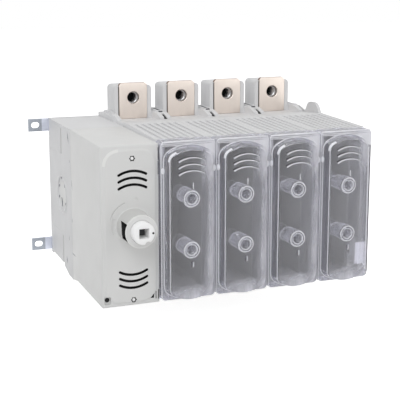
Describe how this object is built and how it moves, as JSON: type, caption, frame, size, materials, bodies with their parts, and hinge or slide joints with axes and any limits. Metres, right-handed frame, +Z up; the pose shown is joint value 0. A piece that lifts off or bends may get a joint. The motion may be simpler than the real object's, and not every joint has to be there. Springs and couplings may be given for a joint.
{
  "type": "fuse switch disconnector",
  "caption": "Row of fuse switch poles with clear hinged fuse covers, tinned terminals and a side mechanism turned by a square-socket spindle.",
  "frame": {"origin": "on the back mounting plane, behind the middle of the second pole from the left, at mid height", "axes": "+X to the right seen from the front, +Z up, -Y towards the front, so +Y points into the mounting plate"},
  "size_m": [0.3549, 0.266, 0.247],
  "materials": {
    "grey_moulding": "light grey glass-filled moulding, satin",
    "front_moulding": "warm light grey moulding, fine grain",
    "white_plastic": "white, satin",
    "dark_insulator": "dark moulding, matt",
    "clear_cover": "clear polycarbonate, glossy",
    "tinned_copper": "tin-plated copper, warm silver",
    "bare_copper": "bare copper, satin",
    "steel": "oiled steel",
    "zinc_steel": "bright zinc plate"
  },
  "bodies": {
    "housing": {"mechanism_base": "grey_moulding", "mechanism_cover": "front_moulding", "cover_screw_upper": "zinc_steel", "cover_screw_lower": "zinc_steel", "end_wall": "grey_moulding", "tie_rod_upper": "zinc_steel", "tie_rod_lower": "zinc_steel", "cover_hinge_rod": "zinc_steel", "bracket_left_upper": "zinc_steel", "bracket_left_lower": "zinc_steel", "bracket_right_upper": "zinc_steel", "bracket_right_lower": "zinc_steel", "pole_base_1": "grey_moulding", "pole_base_2": "grey_moulding", "pole_base_3": "grey_moulding", "pole_base_4": "grey_moulding", "fuse_chamber_1": "grey_moulding", "fuse_chamber_2": "grey_moulding", "fuse_chamber_3": "grey_moulding", "fuse_chamber_4": "grey_moulding", "terminal_upper_1": "tinned_copper", "terminal_upper_2": "tinned_copper", "terminal_upper_3": "tinned_copper", "terminal_upper_4": "tinned_copper", "terminal_lower_1": "tinned_copper", "terminal_lower_2": "tinned_copper", "terminal_lower_3": "tinned_copper", "terminal_lower_4": "tinned_copper", "fuse_jaw_upper_1": "tinned_copper", "fuse_jaw_upper_2": "tinned_copper", "fuse_jaw_upper_3": "tinned_copper", "fuse_jaw_upper_4": "tinned_copper", "fuse_jaw_lower_1": "tinned_copper", "fuse_jaw_lower_2": "tinned_copper", "fuse_jaw_lower_3": "tinned_copper", "fuse_jaw_lower_4": "tinned_copper"},
    "spindle": {"drive_spindle": "white_plastic", "drive_pinion": "steel", "mechanism_spring": "steel"},
    "carriage": {"contact_carriage": "dark_insulator", "drive_rack": "steel", "contact_bridge_upper_1": "bare_copper", "contact_bridge_upper_2": "bare_copper", "contact_bridge_upper_3": "bare_copper", "contact_bridge_upper_4": "bare_copper", "contact_bridge_lower_1": "bare_copper", "contact_bridge_lower_2": "bare_copper", "contact_bridge_lower_3": "bare_copper", "contact_bridge_lower_4": "bare_copper"},
    "cover_1": {"fuse_cover_1": "clear_cover"},
    "cover_2": {"fuse_cover_2": "clear_cover"},
    "cover_3": {"fuse_cover_3": "clear_cover"},
    "cover_4": {"fuse_cover_4": "clear_cover"}
  },
  "joints": [
    {"name": "spindle_turn", "type": "hinge", "parent": "housing", "child": "spindle", "pos_m": [-0.1185, 0, 0.0005], "axis": [0, -1, 0], "range_deg": [0, 90]},
    {"name": "contact_slide", "type": "slide", "parent": "housing", "child": "carriage", "axis": [0, 0, 1], "range_m": [0, 0.01885]},
    {"name": "cover_open_1", "type": "hinge", "parent": "housing", "child": "cover_1", "pos_m": [-0.06, -0.2183, -0.0825], "axis": [1, 0, 0], "range_deg": [0, 100]},
    {"name": "cover_open_2", "type": "hinge", "parent": "housing", "child": "cover_2", "pos_m": [0, -0.2183, -0.0825], "axis": [1, 0, 0], "range_deg": [0, 100]},
    {"name": "cover_open_3", "type": "hinge", "parent": "housing", "child": "cover_3", "pos_m": [0.06, -0.2183, -0.0825], "axis": [1, 0, 0], "range_deg": [0, 100]},
    {"name": "cover_open_4", "type": "hinge", "parent": "housing", "child": "cover_4", "pos_m": [0.12, -0.2183, -0.0825], "axis": [1, 0, 0], "range_deg": [0, 100]}
  ],
  "couplings": [
    {"joint": "spindle_turn", "follows": "contact_slide", "rad_per_m": 83.333}
  ]
}
